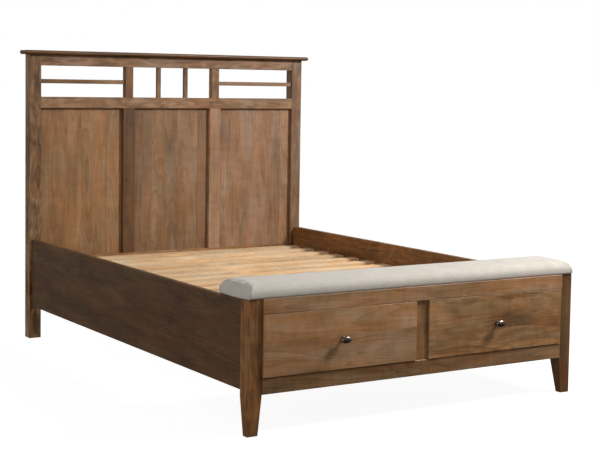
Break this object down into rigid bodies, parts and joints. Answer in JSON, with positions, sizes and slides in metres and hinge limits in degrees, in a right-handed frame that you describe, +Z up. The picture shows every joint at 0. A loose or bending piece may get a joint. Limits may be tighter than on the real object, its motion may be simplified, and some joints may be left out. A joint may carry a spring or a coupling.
{
  "type": "bench bed frame",
  "caption": "Queen wooden bed frame with a panelled headboard under an open gallery, deep side rails and a bench footboard with drawers and a padded seat.",
  "frame": {"origin": "bottom centre of the whole bed's box, on the floor", "axes": "+Z up; +Y from the bench footboard towards the headboard; +X to the right seen from the foot; the drawers face -Y"},
  "size_m": [1.706, 2.397, 1.5],
  "materials": {
    "stained_wood": "satin stained alder",
    "frame_wood": "planed unfinished softwood",
    "drawer_wood": "clear lacquered maple",
    "plywood": "sanded plywood",
    "zinc_steel": "zinc plated",
    "antique_metal": "dark burnished",
    "glide_plastic": "moulded",
    "bench_fabric": "off-white woven linen"
  },
  "bodies": {
    "bed_frame": {"headboard_post_left": "stained_wood", "headboard_post_right": "stained_wood", "headboard_crown": "stained_wood", "headboard_top_rail": "stained_wood", "headboard_mid_rail": "stained_wood", "headboard_bottom_rail": "stained_wood", "headboard_upper_stile_left": "stained_wood", "headboard_upper_stile_right": "stained_wood", "headboard_lower_stile_left": "stained_wood", "headboard_lower_stile_right": "stained_wood", "headboard_vertical_slat_left": "stained_wood", "headboard_vertical_slat_right": "stained_wood", "headboard_horizontal_slat_left": "stained_wood", "headboard_horizontal_slat_right": "stained_wood", "headboard_panel_left": "stained_wood", "headboard_panel_centre": "stained_wood", "headboard_panel_right": "stained_wood", "side_rail_left": "stained_wood", "side_rail_right": "stained_wood", "slat_ledger_left": "frame_wood", "slat_ledger_right": "frame_wood", "mattress_slats": "frame_wood", "centre_beam": "frame_wood", "centre_leg_head": "frame_wood", "centre_leg_foot": "frame_wood", "leg_glides": "glide_plastic", "rail_hook_plates": "zinc_steel", "post_slot_plates": "zinc_steel", "hardware_screws": "zinc_steel", "footboard_post_left": "stained_wood", "footboard_post_right": "stained_wood", "footboard_top_rail": "stained_wood", "footboard_bottom_rail": "stained_wood", "footboard_centre_stile": "stained_wood", "mattress_stop": "stained_wood", "bench_deck": "plywood", "bench_cushion": "bench_fabric", "slide_mount_left": "frame_wood", "slide_mount_right": "frame_wood", "drawer_partition": "frame_wood", "bay_rear_rail": "frame_wood", "runner_outer_members": "zinc_steel"},
    "drawer_left": {"drawer_left_front": "stained_wood", "drawer_left_side_outer": "drawer_wood", "drawer_left_side_inner": "drawer_wood", "drawer_left_back": "drawer_wood", "drawer_left_bottom": "plywood", "drawer_left_knob": "antique_metal", "drawer_left_knob_screw": "zinc_steel", "drawer_left_runner_inner": "zinc_steel"},
    "runner_left": {"drawer_left_runner_middle": "zinc_steel"},
    "drawer_right": {"drawer_right_front": "stained_wood", "drawer_right_side_outer": "drawer_wood", "drawer_right_side_inner": "drawer_wood", "drawer_right_back": "drawer_wood", "drawer_right_bottom": "plywood", "drawer_right_knob": "antique_metal", "drawer_right_knob_screw": "zinc_steel", "drawer_right_runner_inner": "zinc_steel"},
    "runner_right": {"drawer_right_runner_middle": "zinc_steel"}
  },
  "joints": [
    {"name": "drawer_left_slide", "type": "slide", "parent": "bed_frame", "child": "drawer_left", "axis": [0, -1, 0], "range_m": [0, 0.43]},
    {"name": "runner_left_slide", "type": "slide", "parent": "bed_frame", "child": "runner_left", "axis": [0, -1, 0], "range_m": [0, 0.215]},
    {"name": "drawer_right_slide", "type": "slide", "parent": "bed_frame", "child": "drawer_right", "axis": [0, -1, 0], "range_m": [0, 0.43]},
    {"name": "runner_right_slide", "type": "slide", "parent": "bed_frame", "child": "runner_right", "axis": [0, -1, 0], "range_m": [0, 0.215]}
  ],
  "couplings": [
    {"joint": "runner_left_slide", "follows": "drawer_left_slide", "ratio": 0.5},
    {"joint": "runner_right_slide", "follows": "drawer_right_slide", "ratio": 0.5}
  ]
}
